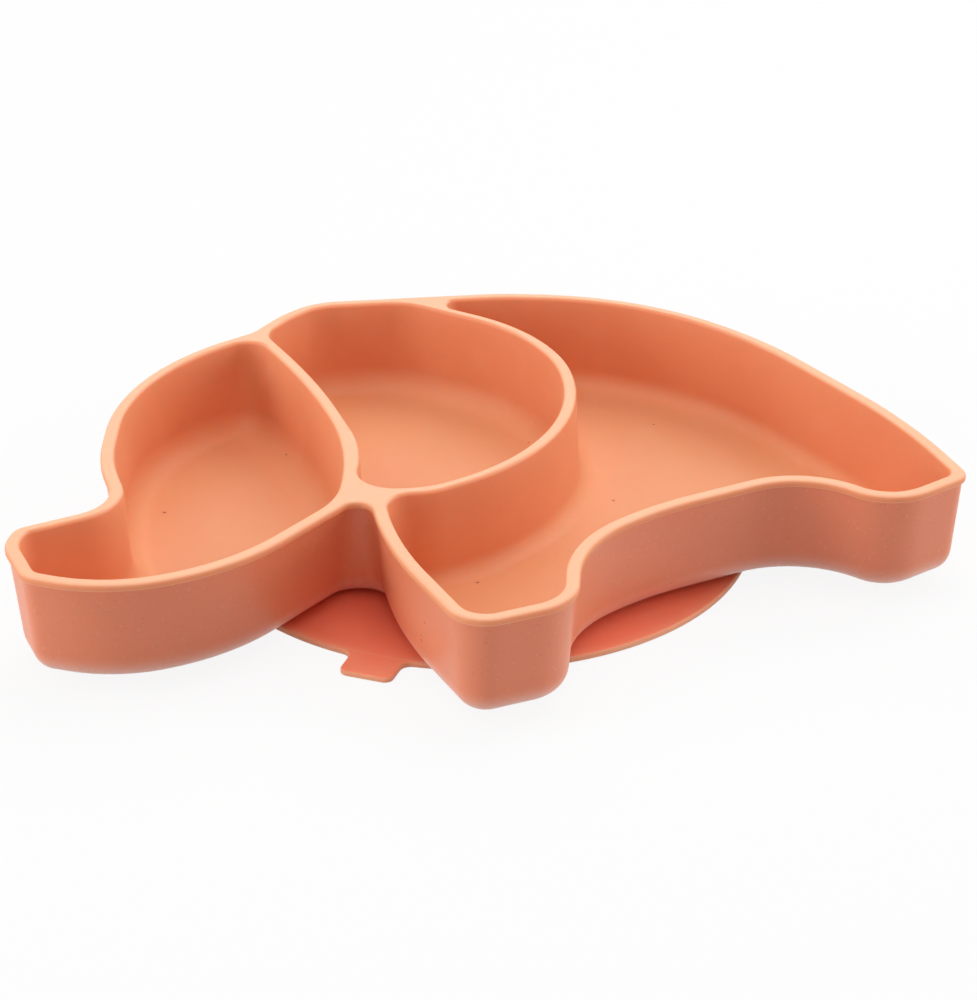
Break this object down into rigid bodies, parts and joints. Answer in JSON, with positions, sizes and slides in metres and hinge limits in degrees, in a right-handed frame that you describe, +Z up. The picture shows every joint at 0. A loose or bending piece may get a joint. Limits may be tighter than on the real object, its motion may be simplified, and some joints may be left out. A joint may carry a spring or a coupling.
{
  "type": "divided baby suction plate",
  "caption": "Elephant-shaped divided silicone plate for a baby, with a head, an ear and a body compartment and a wide suction disc with a pull tab underneath.",
  "frame": {"origin": "centre of the plate's bounding box in plan, on the table plane under the suction disc", "axes": "+Z up out of the compartments, -X towards the elephant's trunk, +X towards its rump, -Y towards its feet and the side that faces the viewer, +Y towards its back"},
  "size_m": [0.2586, 0.203, 0.034],
  "materials": {
    "silicone": "satin"
  },
  "bodies": {
    "root": {"divided_plate": "silicone"}
  },
  "joints": []
}
